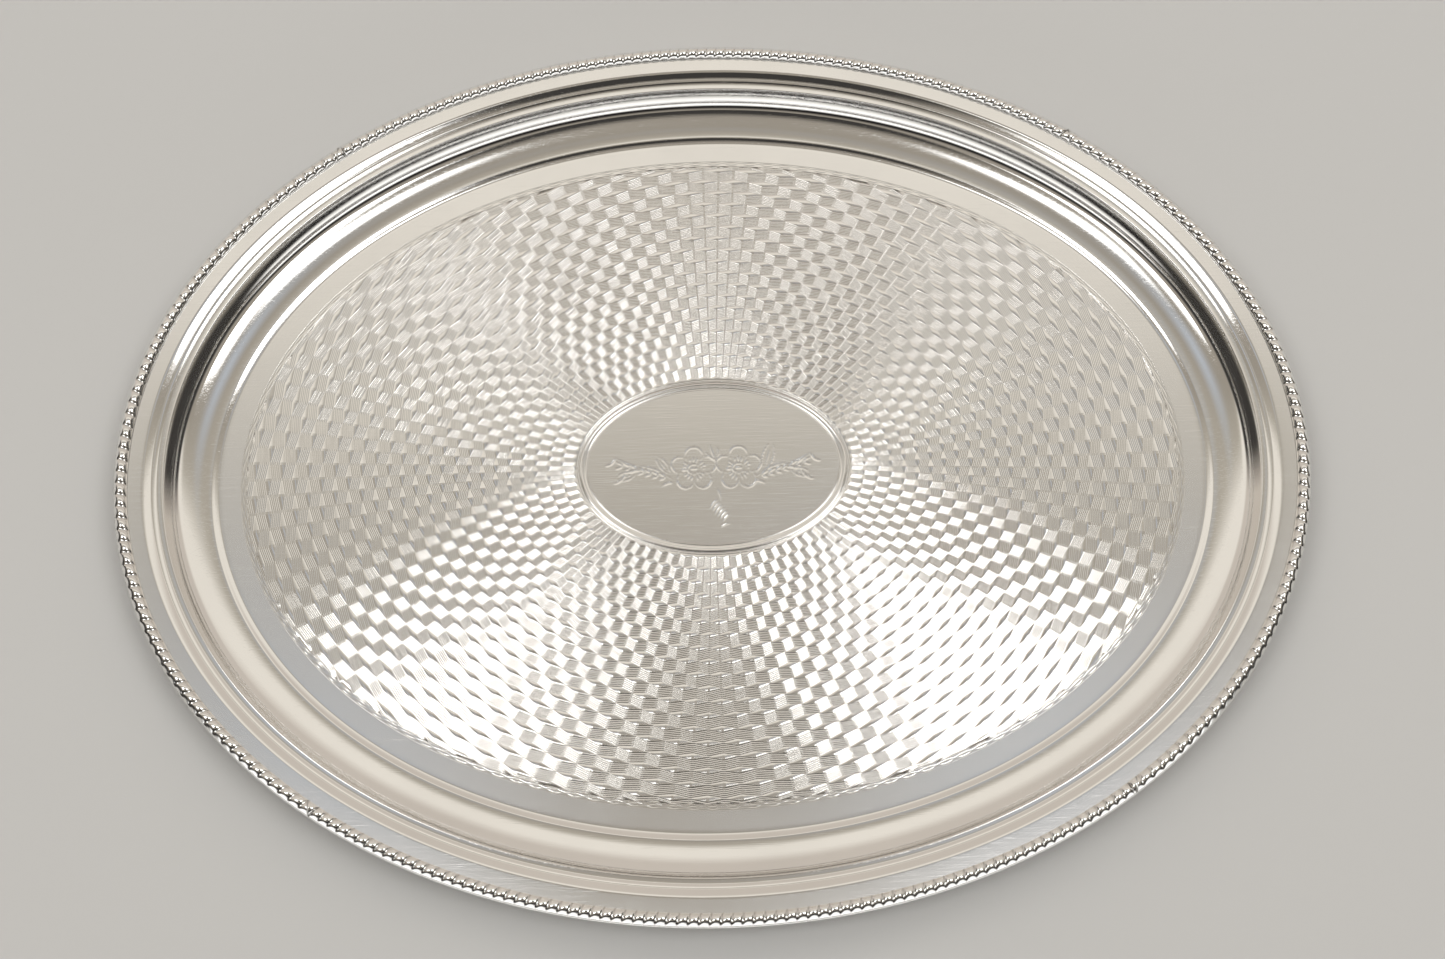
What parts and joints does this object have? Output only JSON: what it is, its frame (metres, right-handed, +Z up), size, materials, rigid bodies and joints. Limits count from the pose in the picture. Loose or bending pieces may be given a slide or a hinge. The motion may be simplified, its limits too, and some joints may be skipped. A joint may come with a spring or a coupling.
{
  "type": "oval salver",
  "caption": "Oval flat-bottomed salver with a raised rim, a gadroon border, an engine-turned floor and a plain engraved oval in the middle.",
  "frame": {"origin": "centre of the flat underside, on the surface that the salver rests on", "axes": "+X along the long axis of the oval, +Y along the short axis, +Z up out of the well"},
  "size_m": [0.4, 0.3134, 0.0178],
  "materials": {
    "silver_plate": "hand-worn polished silver plate, engine-turned and bright-cut on the floor",
    "border_plate": "polished silver plate with darker recesses between the lobes",
    "soft_solder": "plated-over solder, slightly dull"
  },
  "bodies": {
    "root": {"tray_body": "silver_plate", "border_solder_film": "soft_solder", "border_length_back": "border_plate", "border_length_front": "border_plate", "border_length_left": "border_plate", "border_length_right": "border_plate", "border_butt_joints": "soft_solder"}
  },
  "joints": []
}
